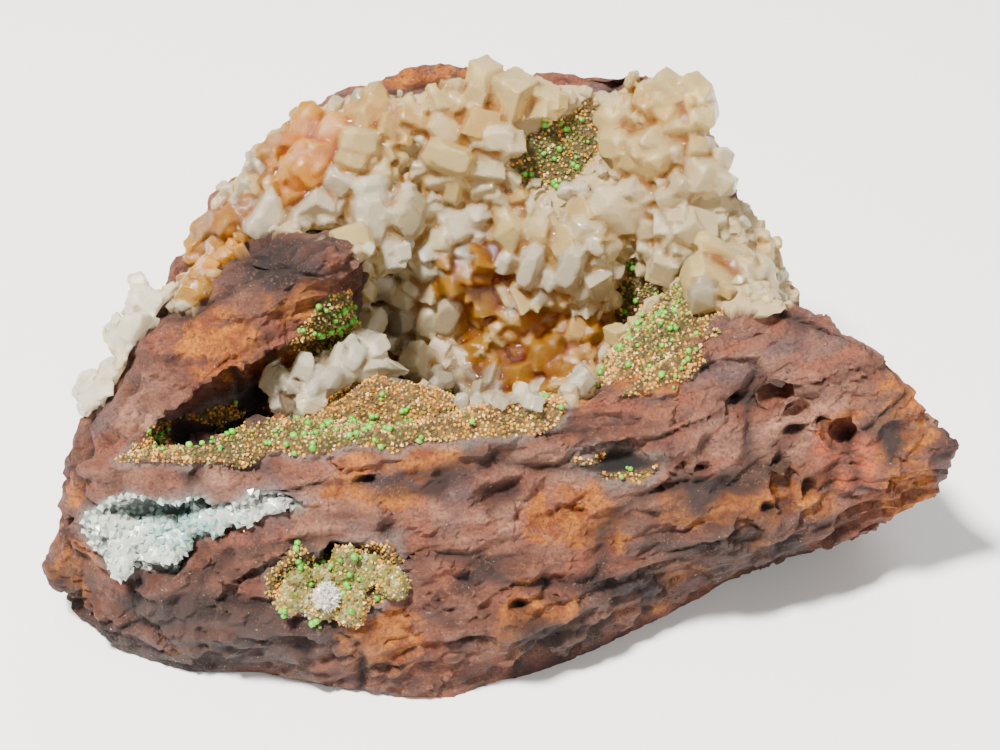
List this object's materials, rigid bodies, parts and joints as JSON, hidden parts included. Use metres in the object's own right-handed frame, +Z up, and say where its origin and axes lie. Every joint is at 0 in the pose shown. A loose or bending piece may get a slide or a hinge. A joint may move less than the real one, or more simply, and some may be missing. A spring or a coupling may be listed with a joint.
{
  "type": "mineral specimen",
  "caption": "Hemimorphite and calcite on limonite: a rust-brown rock around an open crystal-lined hollow, with a flat underside to stand on",
  "frame": {"origin": "middle of the flat underside, on the surface it stands on", "axes": "+Z up out of the flat underside, +X along the longest side to the right of the display side, -Y out of the display side with the pockets"},
  "size_m": [0.1165, 0.076, 0.056],
  "materials": {
    "limonite": "rough, earthy, broken",
    "white_calcite": "translucent, glassy faces",
    "cream_calcite": "translucent, glassy faces",
    "hemimorphite": "sparkling druse",
    "druse": "fine granular druse"
  },
  "bodies": {
    "root": {"limonite": "limonite", "calcite_stub": "white_calcite", "calcite_floor_cluster": "white_calcite", "calcite_side_cluster": "white_calcite", "calcite_crust": "cream_calcite", "hemimorphite_crust": "hemimorphite", "pocket_druse": "druse"}
  },
  "joints": []
}
